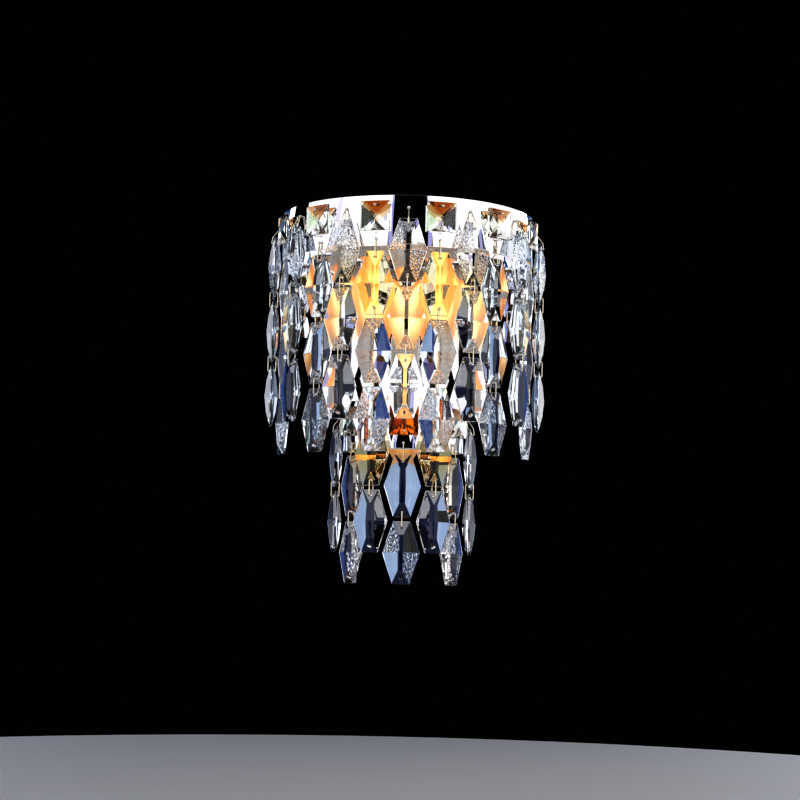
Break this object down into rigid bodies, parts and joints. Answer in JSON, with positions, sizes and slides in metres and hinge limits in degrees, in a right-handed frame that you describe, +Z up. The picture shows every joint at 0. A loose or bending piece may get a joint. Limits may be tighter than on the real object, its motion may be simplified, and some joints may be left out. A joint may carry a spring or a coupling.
{
  "type": "crystal wall sconce",
  "caption": "Two-tier half-round wall sconce: mirror-finished bands hung with strings of long cut crystals in front of candle lamps.",
  "frame": {"origin": "middle of the wall strip's back face, on the wall", "axes": "+Z up, the sconce stands out of the wall along -Y, +X to the right seen from the room"},
  "size_m": [0.23, 0.1278, 0.3018],
  "materials": {
    "mirror_chrome": "mirror polished",
    "cut_crystal": "clear cut crystal with polished and crackled facets",
    "pin_wire": "bright drawn wire",
    "zinc_steel": "bright zinc",
    "holder_ceramic": "glazed",
    "bulb_glass": "frosted, lit",
    "bulb_cap_metal": "rolled thread",
    "terminal_plastic": "moulded",
    "lead_sheath": "smooth",
    "grommet_rubber": "smooth"
  },
  "bodies": {
    "root": {"back_plate": "mirror_chrome", "wall_strip": "zinc_steel", "strip_studs": "zinc_steel", "cap_nuts": "mirror_chrome", "upper_band": "mirror_chrome", "lower_band": "mirror_chrome", "band_screws": "zinc_steel", "upper_lamp_bracket": "zinc_steel", "lower_lamp_bracket": "zinc_steel", "bracket_screws": "zinc_steel", "lampholders": "holder_ceramic", "bulb_caps": "bulb_cap_metal", "bulb_glasses": "bulb_glass", "terminal_block": "terminal_plastic", "lamp_leads": "lead_sheath", "wire_grommets": "grommet_rubber", "square_crystals": "cut_crystal", "square_pins": "pin_wire"},
    "upper_string_01": {"upper_string_01_crystals": "cut_crystal", "upper_string_01_wires": "pin_wire"},
    "upper_string_02": {"upper_string_02_crystals": "cut_crystal", "upper_string_02_wires": "pin_wire"},
    "upper_string_03": {"upper_string_03_crystals": "cut_crystal", "upper_string_03_wires": "pin_wire"},
    "upper_string_04": {"upper_string_04_crystals": "cut_crystal", "upper_string_04_wires": "pin_wire"},
    "upper_string_05": {"upper_string_05_crystals": "cut_crystal", "upper_string_05_wires": "pin_wire"},
    "upper_string_06": {"upper_string_06_crystals": "cut_crystal", "upper_string_06_wires": "pin_wire"},
    "upper_string_07": {"upper_string_07_crystals": "cut_crystal", "upper_string_07_wires": "pin_wire"},
    "upper_string_08": {"upper_string_08_crystals": "cut_crystal", "upper_string_08_wires": "pin_wire"},
    "upper_string_09": {"upper_string_09_crystals": "cut_crystal", "upper_string_09_wires": "pin_wire"},
    "upper_string_10": {"upper_string_10_crystals": "cut_crystal", "upper_string_10_wires": "pin_wire"},
    "upper_string_11": {"upper_string_11_crystals": "cut_crystal", "upper_string_11_wires": "pin_wire"},
    "upper_string_12": {"upper_string_12_crystals": "cut_crystal", "upper_string_12_wires": "pin_wire"},
    "upper_string_13": {"upper_string_13_crystals": "cut_crystal", "upper_string_13_wires": "pin_wire"},
    "lower_string_01": {"lower_string_01_crystals": "cut_crystal", "lower_string_01_wires": "pin_wire"},
    "lower_string_02": {"lower_string_02_crystals": "cut_crystal", "lower_string_02_wires": "pin_wire"},
    "lower_string_03": {"lower_string_03_crystals": "cut_crystal", "lower_string_03_wires": "pin_wire"},
    "lower_string_04": {"lower_string_04_crystals": "cut_crystal", "lower_string_04_wires": "pin_wire"},
    "lower_string_05": {"lower_string_05_crystals": "cut_crystal", "lower_string_05_wires": "pin_wire"},
    "lower_string_06": {"lower_string_06_crystals": "cut_crystal", "lower_string_06_wires": "pin_wire"},
    "lower_string_07": {"lower_string_07_crystals": "cut_crystal", "lower_string_07_wires": "pin_wire"}
  },
  "joints": [
    {"name": "upper_string_01_swing", "type": "hinge", "parent": "root", "child": "upper_string_01", "pos_m": [-0.10311, -0.02558, 0.07], "axis": [-0.1305, 0.9914, 0], "range_deg": [0, 20]},
    {"name": "upper_string_02_swing", "type": "hinge", "parent": "root", "child": "upper_string_02", "pos_m": [-0.09693, -0.04969, 0.0453], "axis": [-0.3624, 0.932, 0], "range_deg": [-3, 20]},
    {"name": "upper_string_03_swing", "type": "hinge", "parent": "root", "child": "upper_string_03", "pos_m": [-0.08519, -0.07165, 0.07], "axis": [-0.5736, 0.8192, 0], "range_deg": [0, 20]},
    {"name": "upper_string_04_swing", "type": "hinge", "parent": "root", "child": "upper_string_04", "pos_m": [-0.06857, -0.09019, 0.0453], "axis": [-0.7518, 0.6593, 0], "range_deg": [-3, 20]},
    {"name": "upper_string_05_swing", "type": "hinge", "parent": "root", "child": "upper_string_05", "pos_m": [-0.04802, -0.10425, 0.07], "axis": [-0.887, 0.4617, 0], "range_deg": [0, 20]},
    {"name": "upper_string_06_swing", "type": "hinge", "parent": "root", "child": "upper_string_06", "pos_m": [-0.02472, -0.11302, 0.0453], "axis": [-0.9713, 0.2377, 0], "range_deg": [-3, 20]},
    {"name": "upper_string_07_swing", "type": "hinge", "parent": "root", "child": "upper_string_07", "pos_m": [0, -0.116, 0.07], "axis": [-1, 0, 0], "range_deg": [0, 20]},
    {"name": "upper_string_08_swing", "type": "hinge", "parent": "root", "child": "upper_string_08", "pos_m": [0.02472, -0.11302, 0.0453], "axis": [-0.9713, -0.2377, 0], "range_deg": [-3, 20]},
    {"name": "upper_string_09_swing", "type": "hinge", "parent": "root", "child": "upper_string_09", "pos_m": [0.04802, -0.10425, 0.07], "axis": [-0.887, -0.4617, 0], "range_deg": [0, 20]},
    {"name": "upper_string_10_swing", "type": "hinge", "parent": "root", "child": "upper_string_10", "pos_m": [0.06857, -0.09019, 0.0453], "axis": [-0.7518, -0.6593, 0], "range_deg": [-3, 20]},
    {"name": "upper_string_11_swing", "type": "hinge", "parent": "root", "child": "upper_string_11", "pos_m": [0.08519, -0.07165, 0.07], "axis": [-0.5736, -0.8192, 0], "range_deg": [0, 20]},
    {"name": "upper_string_12_swing", "type": "hinge", "parent": "root", "child": "upper_string_12", "pos_m": [0.09693, -0.04969, 0.0453], "axis": [-0.3624, -0.932, 0], "range_deg": [-3, 20]},
    {"name": "upper_string_13_swing", "type": "hinge", "parent": "root", "child": "upper_string_13", "pos_m": [0.10311, -0.02558, 0.07], "axis": [-0.1305, -0.9914, 0], "range_deg": [0, 20]},
    {"name": "lower_string_01_swing", "type": "hinge", "parent": "root", "child": "lower_string_01", "pos_m": [-0.04872, -0.02077, -0.0846], "axis": [-0.1771, 0.9842, 0], "range_deg": [0, 20]},
    {"name": "lower_string_02_swing", "type": "hinge", "parent": "root", "child": "lower_string_02", "pos_m": [-0.03964, -0.04165, -0.1093], "axis": [-0.599, 0.8007, 0], "range_deg": [-2, 20]},
    {"name": "lower_string_03_swing", "type": "hinge", "parent": "root", "child": "lower_string_03", "pos_m": [-0.02216, -0.05626, -0.0846], "axis": [-0.8942, 0.4478, 0], "range_deg": [0, 20]},
    {"name": "lower_string_04_swing", "type": "hinge", "parent": "root", "child": "lower_string_04", "pos_m": [0, -0.0615, -0.1093], "axis": [-1, 0, 0], "range_deg": [-2, 20]},
    {"name": "lower_string_05_swing", "type": "hinge", "parent": "root", "child": "lower_string_05", "pos_m": [0.02216, -0.05626, -0.0846], "axis": [-0.8942, -0.4478, 0], "range_deg": [0, 20]},
    {"name": "lower_string_06_swing", "type": "hinge", "parent": "root", "child": "lower_string_06", "pos_m": [0.03964, -0.04165, -0.1093], "axis": [-0.599, -0.8007, 0], "range_deg": [-2, 20]},
    {"name": "lower_string_07_swing", "type": "hinge", "parent": "root", "child": "lower_string_07", "pos_m": [0.04872, -0.02077, -0.0846], "axis": [-0.1771, -0.9842, 0], "range_deg": [0, 20]}
  ]
}
